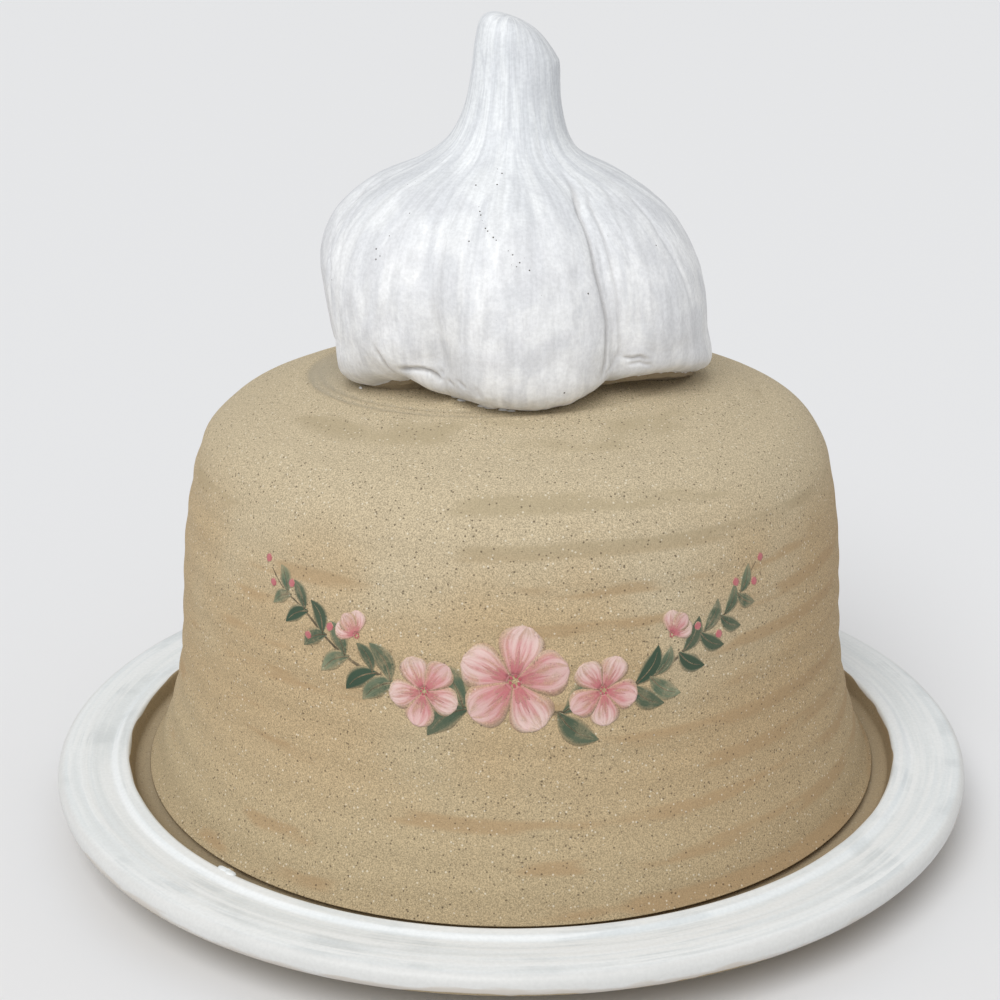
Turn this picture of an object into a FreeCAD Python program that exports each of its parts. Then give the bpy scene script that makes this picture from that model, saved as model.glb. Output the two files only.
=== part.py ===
import FreeCAD, Part
import math
import os
from types import SimpleNamespace

import Sketcher
from FreeCAD import Vector

# Garlic roaster: a thrown stoneware dish, the bell-shaped cover that stands in it, and a knob
# shaped as a head of garlic on the cover. Millimetres, +Z up, the origin on the table under the
# dish's centre, the front towards -Y.

# Driving sizes: alias, value, meaning
SIZES = [
    ("rim_width", 10.4, "width of the rim outside the bead's groove"),
    ("rim_top", 3.3, "rim's upper corner above the seat"),
    ("rim_thickness", 3.7, "rim's thickness at its edge"),
    ("rim_crown", 70.0, "radius of the rim's crowned top"),
    ("rim_round", 1.6, "rounding of the rim's edge"),
    ("bead_rise", 3.7, "bead's top above the seat"),
    ("bead_width", 2.2, "width of the bead's top"),
    ("bead_round", 1.1, "rounding of the bead"),
    ("bead_slope", 1.1, "how far the bead's sides lean out"),
    ("groove_drop", 0.6, "groove outside the bead, below the bead's top"),
    ("groove_round", 1.2, "rounding of the groove"),
    ("dish_bore", 75.2, "inside radius of the bead at the seat"),
    ("floor_thickness", 6.2, "floor under the cover's seat"),
    ("seat_width", 14.2, "cover's seat, from the bead in to the well"),
    ("well_slope", 7.0, "width of the slope into the well"),
    ("well_dip", 1.8, "depth of the well below the seat"),
    ("well_round", 4.0, "rounding of the well's slope"),
    ("foot_inset", 18.2, "how far the dish's foot ring stands inside the bead"),
    ("foot_width", 6.0, "width of the foot ring"),
    ("foot_height", 3.0, "space under the floor inside the foot ring"),
    ("foot_rise", 3.0, "foot ring's outside height"),
    ("foot_round", 0.8, "rounding of the foot ring"),
    ("underside_bow", 120.0, "radius of the bowed underside"),
    ("cover_clearance", 1.88, "gap between the cover's foot and the bead"),
    ("cover_wall", 5.0, "thickness of the cover's wall"),
    ("skirt_angle", 38.75, "lean of the cover's wall at its foot, degrees"),
    ("lip_bow", 27.0, "radius of the flared lip"),
    ("lip_rise", 7.3, "height of the flared lip"),
    ("flare_bow", 72.0, "radius of the flare above the lip"),
    ("flare_rise", 21.0, "height of the flare"),
    ("waist_rise", 15.0, "height of the straight waist"),
    ("brow_bow", 88.0, "radius of the wall below the shoulder"),
    ("brow_rise", 20.0, "height of that wall, up to the shoulder"),
    ("shoulder_bow", 15.0, "radius of the shoulder"),
    ("crown_bow", 147.0, "radius of the domed crown"),
    ("lip_round", 1.2, "rounding of the cover's standing edge"),
    ("knob_share", 0.502, "knob's radius at its belly as a share of the cover's foot radius"),
    ("apron_width", 8.0, "trimmed recess outside the knob's seat"),
    ("recess_depth", 0.7, "depth of the recess at its edge"),
    ("recess_step", 0.9, "width of the recess's soft step"),
    ("seat_margin", 0.4, "how far the knob's flat seat reaches past its sole"),
    ("seat_drop", 3.3, "knob's seat below the top of the crown's full curve"),
    ("ceiling_wall", 5.4, "thickness of the cover under the knob"),
    ("knob_wall", 5.5, "thinnest wall of the hollow knob"),
    ("cavity_rise", 9.0, "height where the knob's cavity is widest"),
]

# Where one clove of the knob ends and the next begins: degrees round from the front, +X side first
VALLEYS = [
    ("valley_front_left", -25.0),
    ("valley_front_right", 31.0),
    ("valley_right", 97.0),
    ("valley_back_right", 158.0),
    ("valley_back_left", 218.0),
    ("valley_left", 280.0),
]

# The knob's levels, going up: name, rise from the level below, radius over the cloves, lean towards
# +X, groove depth between the cloves as a share of the radius, and tilt down towards +X, degrees.
# Their lengths are those of a knob 36.8 mm in radius at its belly, and are scaled to the real one.
LEVELS = [
    ("sole", 0.0, 29.4, 2.1, 0.20, 0.0),
    ("welt", 0.9, 32.1, 2.0, 0.185, 0.0),
    ("tuck", 2.1, 34.9, 1.7, 0.16, 0.0),
    ("hip", 4.0, 36.4, 1.2, 0.135, 0.0),
    ("belly", 6.5, 36.8, 0.5, 0.11, 0.0),
    ("flank", 7.5, 36.0, -0.6, 0.09, 0.0),
    ("cheek", 8.0, 31.9, -1.2, 0.07, 0.0),
    ("crest", 6.0, 24.2, -1.4, 0.05, 0.0),
    ("collar", 4.0, 15.2, -0.9, 0.03, 0.0),
    ("neck", 3.5, 11.0, -0.3, 0.012, 0.0),
    ("throat", 5.5, 8.6, 0.2, 0.0, 0.0),
    ("stem", 7.0, 7.6, 0.8, 0.0, 0.0),
    ("bevel", 3.4, 7.3, 0.9, 0.0, 12.0),
    ("brim", 2.6, 6.5, 0.7, 0.0, 18.0),
    ("cap", 2.0, 4.6, 0.2, 0.0, 18.0),
    ("tip", 1.0, 2.4, -0.4, 0.0, 17.0),
]

CLOVE_POINTS = 6
CLOVE_FULLNESS = 2.2


class Size:
    """A size from the sheet: its number, and the same size as an expression to bind to."""

    def __init__(self, value, text):
        self.value = value
        self.text = text

    @staticmethod
    def of(other):
        return other if isinstance(other, Size) else Size(float(other), "%g" % other)

    def __add__(self, other):
        other = Size.of(other)
        return Size(self.value + other.value, "(%s + %s)" % (self.text, other.text))

    def __sub__(self, other):
        other = Size.of(other)
        return Size(self.value - other.value, "(%s - %s)" % (self.text, other.text))

    def __rsub__(self, other):
        return Size.of(other) - self

    def __mul__(self, other):
        other = Size.of(other)
        return Size(self.value * other.value, "(%s * %s)" % (self.text, other.text))

    def __truediv__(self, other):
        other = Size.of(other)
        return Size(self.value / other.value, "(%s / %s)" % (self.text, other.text))


NOTHING = Size(0.0, "0")


def sine(angle):
    return Size(math.sin(math.radians(angle.value)), "sin(%s)" % angle.text)


def slant(across, along):
    """The length of the straight way between two points."""
    text = "sqrt((%s)^2 + (%s)^2)" % (across.text, along.text)
    return Size(math.hypot(across.value, along.value), text)


def least(sizes):
    text = "min(%s)" % "; ".join(size.text for size in sizes)
    return Size(min(size.value for size in sizes), text)


def make_sheet(document):
    """The sheet of driving sizes, and the same sizes by name."""
    sheet = document.addObject("Spreadsheet::Sheet", "sizes")
    rows = [(alias, value, note) for alias, value, note in SIZES]
    rows += [(alias, value, "degrees round from the front") for alias, value in VALLEYS]
    for name, rise, radius, lean, groove, tilt in LEVELS:
        rows.append((name + "_rise", rise, "level of the knob above the one below"))
        rows.append((name + "_radius", radius, "radius over the cloves there"))
        rows.append((name + "_lean", lean, "lean towards +X there"))
        rows.append((name + "_groove", groove, "groove depth there, as a share of the radius"))
        rows.append((name + "_tilt", tilt, "tilt there, degrees"))
    for row, (alias, value, note) in enumerate(rows, start=1):
        sheet.set("A%d" % row, alias)
        sheet.set("B%d" % row, "%g" % value)
        sheet.set("C%d" % row, note)
        sheet.setAlias("B%d" % row, alias)
    document.recompute()
    named = {alias: Size(float(sheet.get(alias)), "sizes." + alias) for alias, _, _ in rows}
    return SimpleNamespace(**named)


def origin_feature(body, role):
    return next(item for item in body.Origin.OriginFeatures if item.Role == role)


def new_body(document, name, height=None):
    body = document.addObject("PartDesign::Body", name)
    body.Label = name
    if height is not None:
        body.setExpression("Placement.Base.z", height.text)
    return body


def new_sketch(body, name, role="XZ_Plane"):
    sketch = body.newObject("Sketcher::SketchObject", name)
    sketch.AttachmentSupport = [(origin_feature(body, role), "")]
    sketch.MapMode = "FlatFace"
    return sketch


class Outline:
    """A closed outline in a sketch, drawn one line or arc after the other. X is the radius."""

    def __init__(self, sketch, start):
        self.sketch = sketch
        self.start = start
        self.here = start
        self.pieces = []

    def line(self, end=None):
        end = end or self.start
        segment = self.sketch.addGeometry(Part.LineSegment(self.here, end))
        self.pieces.append((segment, 1, 2))
        self.here = end
        return len(self.pieces) - 1

    def arc(self, centre, end=None):
        """The short way round the centre. A sketch keeps every arc anticlockwise."""
        end = end or self.start
        first = math.atan2(self.here.y - centre.y, self.here.x - centre.x)
        last = math.atan2(end.y - centre.y, end.x - centre.x)
        turn = (last - first + math.pi) % (2 * math.pi) - math.pi
        circle = Part.Circle(centre, Vector(0, 0, 1), centre.distanceToPoint(self.here))
        low = first if turn > 0 else first + turn
        segment = self.sketch.addGeometry(Part.ArcOfCircle(circle, low, low + abs(turn)))
        self.pieces.append((segment, 1, 2) if turn > 0 else (segment, 2, 1))
        self.here = end
        return len(self.pieces) - 1

    def join(self, smooth=()):
        """Closes every joint. Those after the pieces in smooth are tangent."""
        for index, (segment, _, last) in enumerate(self.pieces):
            following, first, _ = self.pieces[(index + 1) % len(self.pieces)]
            kind = "Tangent" if index in smooth else "Coincident"
            self.sketch.addConstraint(Sketcher.Constraint(kind, segment, last, following, first))

    def end_of(self, piece):
        segment, _, last = self.pieces[piece]
        return segment, last

    def centre_of(self, piece):
        return self.pieces[piece][0], 3

    def bind(self, kind, size, *geometry):
        index = self.sketch.addConstraint(Sketcher.Constraint(kind, *geometry, size.value))
        self.sketch.setExpression("Constraints[%d]" % index, size.text)

    def fix_x(self, point, size):
        """Holds a point at a radius, or on the axis."""
        if size is NOTHING:
            self.sketch.addConstraint(Sketcher.Constraint("PointOnObject", *point, -2))
        else:
            self.bind("DistanceX", size, *point)

    def fix_y(self, point, size):
        """Holds a point at a height, or on the base line."""
        if size is NOTHING:
            self.sketch.addConstraint(Sketcher.Constraint("PointOnObject", *point, -1))
        else:
            self.bind("DistanceY", size, *point)

    def fix_rise(self, low, high, size):
        """Holds one point above another."""
        self.bind("DistanceY", size, *low, *high)

    def fix_radius(self, piece, size):
        self.bind("Radius", size, self.pieces[piece][0])

    def report(self, name, point, height):
        """Names a point's height, so that another body can stand at it."""
        constraint = Sketcher.Constraint("DistanceY", *point, height)
        index = self.sketch.addConstraint(constraint)
        self.sketch.setDriving(index, False)
        self.sketch.renameConstraint(index, name)

    def level(self, piece):
        self.sketch.addConstraint(Sketcher.Constraint("Horizontal", self.pieces[piece][0]))


def bowed_centre(start, end, radius):
    """Centre of the arc from start to end that bows to the right of the way there."""
    chord = end - start
    middle = (start + end) * 0.5
    left = Vector(-chord.y, chord.x, 0).normalize()
    return middle + left * math.sqrt(radius ** 2 - (chord.Length / 2) ** 2)


def revolve(body, sketch, kind="PartDesign::Revolution"):
    feature = body.newObject(kind, sketch.Name + "_turned")
    feature.Profile = sketch
    feature.ReferenceAxis = (sketch, ["V_Axis"])
    feature.Angle = 360.0
    sketch.Visibility = False
    return feature


def ring_edges(feature, rings):
    """Names of the circular edges at the given radii and heights."""
    names = []
    for number, edge in enumerate(feature.Shape.Edges, start=1):
        curve = getattr(edge, "Curve", None)
        if not isinstance(curve, Part.Circle):
            continue
        for radius, height in rings:
            near = abs(curve.Radius - radius) < 0.01 and abs(curve.Center.z - height) < 0.01
            if near:
                names.append("Edge%d" % number)
    return names


def round_rings(body, base, name, size, rings):
    """Rounds circular edges of a turned body. A ring is a radius and a height in the body."""
    feature = body.newObject("PartDesign::Fillet", name)
    local = [(radius.value, height.value) for radius, height in rings]
    feature.Base = (base, ring_edges(base, local))
    feature.setExpression("Radius", size.text)
    body.Document.recompute()
    return feature


def make_dish(document, size):
    """The thrown dish: foot ring, floor with the cover's seat and a well, bead and wide rim."""
    seat = size.foot_height + size.floor_thickness
    foot_outside = size.dish_bore - size.foot_inset
    foot_inside = foot_outside - size.foot_width
    well_floor = seat - size.well_dip
    well_outside = size.dish_bore - size.seat_width
    well_inside = well_outside - size.well_slope
    bead_top = seat + size.bead_rise
    bead_inside = size.dish_bore + size.bead_slope
    bead_outside = bead_inside + size.bead_width
    groove = bead_outside + size.bead_slope
    groove_floor = bead_top - size.groove_drop
    rim = groove + size.rim_width
    rim_upper = seat + size.rim_top
    rim_lower = rim_upper - size.rim_thickness

    # Corners of the section, anticlockwise from the middle of the underside
    corners = [
        (NOTHING, size.foot_height),
        (foot_inside, size.foot_height),
        (foot_inside, NOTHING),
        (foot_outside, NOTHING),
        (foot_outside, size.foot_rise),
        (rim, rim_lower),
        (rim, rim_upper),
        (groove, groove_floor),
        (bead_outside, bead_top),
        (bead_inside, bead_top),
        (size.dish_bore, seat),
        (well_outside, seat),
        (well_inside, well_floor),
        (NOTHING, well_floor),
    ]
    underside, rim_face = 4, 6
    bows = {underside: size.underside_bow, rim_face: size.rim_crown}

    body = new_body(document, "dish")
    sketch = new_sketch(body, "dish_section")
    points = [Vector(x.value, y.value, 0) for x, y in corners]
    outline = Outline(sketch, points[0])
    for index, end in enumerate(points[1:] + points[:1]):
        if index in bows:
            centre = bowed_centre(outline.here, end, bows[index].value)
            outline.arc(centre, end)
        else:
            outline.line(end)
    outline.join()
    for index, (x, y) in enumerate(corners[1:] + corners[:1]):
        point = outline.end_of(index)
        outline.fix_x(point, x)
        outline.fix_y(point, y)
    for index, bow in bows.items():
        outline.fix_radius(index, bow)
    document.recompute()

    turned = revolve(body, sketch)
    document.recompute()
    edge = round_rings(body, turned, "rim_rounding", size.rim_round,
                       [(rim, rim_lower), (rim, rim_upper)])
    bead = round_rings(body, edge, "bead_rounding", size.bead_round,
                       [(bead_inside, bead_top), (bead_outside, bead_top), (size.dish_bore, seat)])
    trough = round_rings(body, bead, "groove_rounding", size.groove_round, [(groove, groove_floor)])
    well = round_rings(body, trough, "well_rounding", size.well_round,
                       [(well_outside, seat), (well_inside, well_floor)])
    round_rings(body, well, "foot_rounding", size.foot_round,
                [(foot_inside, NOTHING), (foot_outside, NOTHING),
                 (foot_inside, size.foot_height), (foot_outside, size.foot_rise)])
    return body


def bell_wall(size, foot, inset):
    """Centres and joints of the cover's wall, going up, moved inwards by inset."""
    lean = math.radians(size.skirt_angle.value)
    base = Vector(foot.value, 0, 0)

    def outward(rise):
        return Vector(math.sqrt(1 - rise ** 2), rise, 0)

    at_foot = outward(math.sin(lean))
    lip = base + at_foot * size.lip_bow.value
    at_lip = outward(at_foot.y - size.lip_rise.value / size.lip_bow.value)
    flare = lip + at_lip * (size.flare_bow.value - size.lip_bow.value)
    at_flare = outward(at_lip.y - size.flare_rise.value / size.flare_bow.value)
    flare_end = flare - at_flare * size.flare_bow.value
    up = Vector(-at_flare.y, at_flare.x, 0)
    waist_end = flare_end + up * (size.waist_rise.value / up.y)
    brow = waist_end - at_flare * size.brow_bow.value
    at_brow = outward(at_flare.y + size.brow_rise.value / size.brow_bow.value)
    shoulder = brow + at_brow * (size.brow_bow.value - size.shoulder_bow.value)
    reach = size.crown_bow.value - size.shoulder_bow.value
    crown = Vector(0, shoulder.y - math.sqrt(reach ** 2 - shoulder.x ** 2), 0)
    at_crown = (shoulder - crown) * (1 / reach)

    joints = SimpleNamespace(
        lip=lip - at_lip * (size.lip_bow.value + inset),
        flare=flare_end - at_flare * inset,
        waist=waist_end - at_flare * inset,
        brow=brow + at_brow * (size.brow_bow.value - inset),
        shoulder=crown + at_crown * (size.crown_bow.value - inset),
    )
    centres = SimpleNamespace(lip=lip, flare=flare, brow=brow, shoulder=shoulder, crown=crown)
    return centres, joints


def on_circle(centre, radius, x=None, y=None):
    """The point of a circle at a given x, above its centre, or at a given y, left of it."""
    if y is None:
        return Vector(x, centre.y + math.sqrt(radius ** 2 - (x - centre.x) ** 2), 0)
    return Vector(centre.x - math.sqrt(radius ** 2 - (y - centre.y) ** 2), y, 0)


def cover_foot(size):
    return size.dish_bore - size.cover_clearance


def knob_scale(size):
    """The real knob's size over that of the knob that the levels describe."""
    return cover_foot(size) * size.knob_share / size.belly_radius


def make_cover(document, size):
    """The thrown cover: flared lip, waist, shoulder, crown with its recess, and an even wall."""
    foot = cover_foot(size)
    wall = size.cover_wall
    knob_seat_radius = size.sole_radius * knob_scale(size) + size.seat_margin
    recess_radius = knob_seat_radius + size.apron_width
    centre, outer = bell_wall(size, foot, 0.0)
    _, inner = bell_wall(size, foot, wall.value)
    recess_edge = on_circle(centre.crown, size.crown_bow.value, x=recess_radius.value)
    recess_floor = recess_edge - Vector(size.recess_step.value, size.recess_depth.value, 0)
    seat_over_centre = size.crown_bow - size.seat_drop
    seat_level = centre.crown.y + seat_over_centre.value
    ceiling_level = seat_level - size.ceiling_wall.value
    inner_crown = size.crown_bow.value - wall.value
    ceiling_edge = Vector(math.sqrt(inner_crown ** 2 - (ceiling_level - centre.crown.y) ** 2),
                          ceiling_level, 0)
    inner_foot = on_circle(centre.lip, size.lip_bow.value + wall.value, y=0.0)

    body = new_body(document, "cover", size.foot_height + size.floor_thickness)
    sketch = new_sketch(body, "cover_section")
    outline = Outline(sketch, Vector(foot.value, 0, 0))

    # Up the outside
    lip = outline.arc(centre.lip, outer.lip)
    flare = outline.arc(centre.flare, outer.flare)
    waist = outline.line(outer.waist)
    brow = outline.arc(centre.brow, outer.brow)
    shoulder = outline.arc(centre.shoulder, outer.shoulder)
    crown = outline.arc(centre.crown, recess_edge)

    # Across the recess to the axis, and through the wall
    step = outline.line(recess_floor)
    apron = outline.line(Vector(knob_seat_radius.value, seat_level, 0))
    knob_seat = outline.line(Vector(0, seat_level, 0))
    middle = outline.line(Vector(0, ceiling_level, 0))
    roof = outline.line(ceiling_edge)

    # Down the inside, on the same centres
    inner_crown_arc = outline.arc(centre.crown, inner.shoulder)
    inner_shoulder = outline.arc(centre.shoulder, inner.brow)
    inner_brow = outline.arc(centre.brow, inner.waist)
    inner_waist = outline.line(inner.flare)
    inner_flare = outline.arc(centre.flare, inner.lip)
    inner_lip = outline.arc(centre.lip, inner_foot)
    base = outline.line()
    outline.join(smooth=[lip, flare, waist, brow, shoulder,
                         inner_crown_arc, inner_shoulder, inner_brow, inner_waist, inner_flare])

    bows = [(lip, inner_lip, size.lip_bow, size.lip_bow + wall),
            (flare, inner_flare, size.flare_bow, size.flare_bow + wall),
            (brow, inner_brow, size.brow_bow, size.brow_bow - wall),
            (shoulder, inner_shoulder, size.shoulder_bow, size.shoulder_bow - wall),
            (crown, inner_crown_arc, size.crown_bow, size.crown_bow - wall)]
    for outside, inside, outer_bow, inner_bow in bows:
        outline.fix_radius(outside, outer_bow)
        outline.fix_radius(inside, inner_bow)

    outline.fix_x(outline.end_of(base), foot)
    outline.fix_y(outline.end_of(base), NOTHING)
    outline.fix_y(outline.centre_of(lip), size.lip_bow * sine(size.skirt_angle))
    outline.fix_y(outline.end_of(lip), size.lip_rise)
    outline.fix_rise(outline.end_of(lip), outline.end_of(flare), size.flare_rise)
    outline.fix_rise(outline.end_of(flare), outline.end_of(waist), size.waist_rise)
    outline.fix_rise(outline.end_of(waist), outline.end_of(brow), size.brow_rise)
    outline.fix_x(outline.centre_of(crown), NOTHING)

    outline.fix_x(outline.end_of(crown), recess_radius)
    outline.fix_x(outline.end_of(step), recess_radius - size.recess_step)
    outline.fix_rise(outline.end_of(step), outline.end_of(crown), size.recess_depth)
    outline.fix_x(outline.end_of(apron), knob_seat_radius)
    outline.fix_rise(outline.centre_of(crown), outline.end_of(apron), seat_over_centre)
    outline.fix_x(outline.end_of(knob_seat), NOTHING)
    outline.level(knob_seat)
    outline.fix_x(outline.end_of(middle), NOTHING)
    outline.fix_rise(outline.end_of(middle), outline.end_of(knob_seat), size.ceiling_wall)
    outline.level(roof)

    # The inner arcs stand on the outer ones' centres
    same_centre = [("Coincident", lip, inner_lip), ("Horizontal", flare, inner_flare),
                   ("Coincident", brow, inner_brow), ("Horizontal", shoulder, inner_shoulder)]
    for kind, outside, inside in same_centre:
        points = outline.centre_of(outside) + outline.centre_of(inside)
        sketch.addConstraint(Sketcher.Constraint(kind, *points))
    outline.fix_x(outline.centre_of(inner_crown_arc), NOTHING)
    outline.level(base)
    outline.report("knob_seat_level", outline.end_of(apron), seat_level)
    document.recompute()

    turned = revolve(body, sketch)
    document.recompute()
    round_rings(body, turned, "lip_rounding", size.lip_round,
                [(foot, NOTHING), (Size(inner_foot.x, ""), NOTHING)])
    return body


def clove_outline(size, radius, groove):
    """A level of the knob: a closed curve over all the cloves, round its own centre."""
    valleys = [getattr(size, alias).value for alias, _ in VALLEYS]
    points = []
    for start, end in zip(valleys, valleys[1:] + [valleys[0] + 360.0]):
        for step in range(CLOVE_POINTS):
            share = step / CLOVE_POINTS
            angle = math.radians(start + (end - start) * share)
            dip = groove * abs(2 * share - 1) ** CLOVE_FULLNESS
            reach = radius * (1 - dip)
            points.append(Vector(reach * math.sin(angle), -reach * math.cos(angle), 0))
    curve = Part.BSplineCurve()
    curve.interpolate(points, PeriodicFlag=True)
    return curve


def make_knob(document, size):
    """The garlic knob: cloves lofted through its levels up to a slanted stem, hidden cavity."""
    knob_seat = Size(0.0, "cover_section.Constraints.knob_seat_level / 1 mm")
    body = new_body(document, "garlic_knob", size.foot_height + size.floor_thickness + knob_seat)
    scale = knob_scale(size)

    height = NOTHING
    heights = {}
    sections = []
    for name, *_ in LEVELS:
        height = height + getattr(size, name + "_rise") * scale
        heights[name] = height
        lean = getattr(size, name + "_lean") * scale
        radius = getattr(size, name + "_radius") * scale
        section = new_sketch(body, name + "_level", "XY_Plane")
        # The first turn only sets the axis, Y: the sheet's tilt takes its place
        section.AttachmentOffset = FreeCAD.Placement(Vector(), FreeCAD.Rotation(Vector(0, 1, 0), 1))
        section.setExpression("AttachmentOffset.Rotation.Angle", "sizes.%s_tilt" % name)
        section.setExpression("AttachmentOffset.Base.z", height.text)
        section.setExpression("AttachmentOffset.Base.x", lean.text)
        groove = getattr(size, name + "_groove").value
        section.addGeometry(clove_outline(size, radius.value, groove))
        section.Visibility = False
        sections.append(section)
    document.recompute()
    bulb = body.newObject("PartDesign::AdditiveLoft", "bulb")
    bulb.Profile = sections[0]
    bulb.Sections = sections[1:]
    bulb.Ruled = False
    document.recompute()

    # The cavity keeps the knob's wall inside the grooves, at its sole and up to the neck
    def groove_reach(name):
        radius = getattr(size, name + "_radius") * (1 - getattr(size, name + "_groove"))
        return (radius - size.sole_lean) * scale

    ways = [slant(groove_reach(name), heights[name] - size.cavity_rise)
            for name in ("belly", "flank", "cheek", "crest", "collar", "neck")]
    belly = least(ways) - size.knob_wall
    mouth = groove_reach("sole") - size.knob_wall
    dome = size.cavity_rise + belly
    hollow = new_sketch(body, "cavity_section")
    outline = Outline(hollow, Vector(0, 0, 0))
    floor = outline.line(Vector(mouth.value, 0, 0))
    side = outline.line(Vector(belly.value, size.cavity_rise.value, 0))
    vault = outline.arc(Vector(0, size.cavity_rise.value, 0), Vector(0, dome.value, 0))
    outline.line()
    outline.join()
    hollow.addConstraint(Sketcher.Constraint("Coincident", 0, 1, -1, 1))
    outline.fix_x(outline.end_of(floor), mouth)
    outline.fix_y(outline.end_of(floor), NOTHING)
    outline.fix_x(outline.end_of(side), belly)
    outline.fix_y(outline.end_of(side), size.cavity_rise)
    outline.fix_x(outline.centre_of(vault), NOTHING)
    outline.fix_y(outline.centre_of(vault), size.cavity_rise)
    outline.fix_x(outline.end_of(vault), NOTHING)
    document.recompute()
    revolve(body, hollow, "PartDesign::Groove")
    document.recompute()
    return body


def check(document, bodies):
    """Stops if a feature failed or a sub-part isn't a sound solid."""
    for item in document.Objects:
        if "Invalid" in item.State or "Error" in item.State:
            raise RuntimeError("failed: " + item.Name)
    for body in bodies:
        shape = body.Shape
        if shape.isNull() or not shape.isValid() or len(shape.Solids) != 1:
            raise RuntimeError("not a sound solid: " + body.Label)


def main():
    document = FreeCAD.newDocument("garlic_roaster")
    size = make_sheet(document)
    bodies = [make_dish(document, size), make_cover(document, size), make_knob(document, size)]
    document.recompute()
    check(document, bodies)
    os.makedirs("parts", exist_ok=True)
    for body in bodies:
        body.Shape.exportStep(os.path.join("parts", body.Label + ".step"))
        box = body.Shape.BoundBox
        print("%-12s %8.1f cm3  z %.2f to %.2f  x %.2f to %.2f" % (
            body.Label, body.Shape.Volume / 1000, box.ZMin, box.ZMax, box.XMin, box.XMax))


main()
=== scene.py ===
import functools
import math

import bmesh
import bpy
from mathutils import Euler, Matrix, Quaternion, Vector, noise


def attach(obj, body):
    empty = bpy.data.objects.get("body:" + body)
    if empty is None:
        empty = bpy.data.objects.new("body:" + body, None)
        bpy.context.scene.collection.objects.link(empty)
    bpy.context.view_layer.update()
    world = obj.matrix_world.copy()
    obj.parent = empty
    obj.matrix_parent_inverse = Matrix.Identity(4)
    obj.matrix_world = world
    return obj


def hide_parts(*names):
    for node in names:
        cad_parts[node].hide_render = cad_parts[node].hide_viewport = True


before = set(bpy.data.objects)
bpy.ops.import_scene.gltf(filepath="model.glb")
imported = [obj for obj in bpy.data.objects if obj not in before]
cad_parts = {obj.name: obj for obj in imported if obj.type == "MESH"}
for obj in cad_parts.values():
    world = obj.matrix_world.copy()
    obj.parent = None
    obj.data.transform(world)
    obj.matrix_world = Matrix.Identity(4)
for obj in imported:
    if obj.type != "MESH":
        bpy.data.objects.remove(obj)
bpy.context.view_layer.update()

scene = bpy.context.scene
scene.view_settings.view_transform = "Standard"

# Lengths are in millimetres and are scaled once a shape is made. Heights are above the table, and
# turns are degrees round from the front, towards +X.
MM = 0.001
SEAT = 9.2  # where the cover stands in the dish
KNOB_SEAT = 87.97  # where the knob stands on the cover
RING_SPACING = 6.6  # between the rings that fingers left in the cover's wall


# Shaping

def ease(low, high, value):
    """0 up to low, 1 from high, and an even rise between them."""
    share = min(max((value - low) / (high - low), 0.0), 1.0)
    return share * share * (3 - 2 * share)


def hump(middle, reach, value):
    """1 at the middle, falling evenly to 0 at that reach from it."""
    return 1 - ease(0, reach, abs(value - middle))


def turn_between(turn, other):
    """How far a turn is past another, from -180 to 180 degrees."""
    return (turn - other + 180) % 360 - 180


def turn_of(x, y):
    """The turn at which a place lies, from -180 to 180 degrees."""
    return math.degrees(math.atan2(x, -y))


def along_curve(table, place):
    """A smooth curve through a table's rows (place, value), at a place."""
    if place <= table[0][0]:
        return table[0][1]
    if place >= table[-1][0]:
        return table[-1][1]
    index = next(i for i in range(len(table) - 1) if place <= table[i + 1][0])
    (x1, y1), (x2, y2) = table[index], table[index + 1]
    x0, y0 = table[max(index - 1, 0)]
    x3, y3 = table[min(index + 2, len(table) - 1)]
    slope1 = (y2 - y0) / (x2 - x0)
    slope2 = (y3 - y1) / (x3 - x1)
    step = x2 - x1
    t = (place - x1) / step
    return ((2 * t ** 3 - 3 * t ** 2 + 1) * y1 + (t ** 3 - 2 * t ** 2 + t) * step * slope1
            + (3 * t ** 2 - 2 * t ** 3) * y2 + (t ** 3 - t ** 2) * step * slope2)


@functools.lru_cache(maxsize=None)
def round_curve(table, turn):
    """The same for a table that goes once round: its ends meet."""
    turn = (turn - table[0][0]) % 360 + table[0][0]
    closed = ((table[-1][0] - 360, table[-1][1]),) + table
    closed += ((table[0][0] + 360, table[0][1]), (table[1][0] + 360, table[1][1]))
    return along_curve(closed, turn)


def unevenness(turn, height, waves, size, seed):
    """A slow, smooth change round a thrown wall, from about -1 to 1."""
    angle = math.radians(turn)
    return noise.noise(Vector((math.cos(angle) * waves, math.sin(angle) * waves + seed,
                               height / size + seed * 3)))


def at(radius, turn, height):
    """The place at a radius, a turn and a height."""
    angle = math.radians(turn)
    return Vector((radius * math.sin(angle), -radius * math.cos(angle), height))


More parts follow.
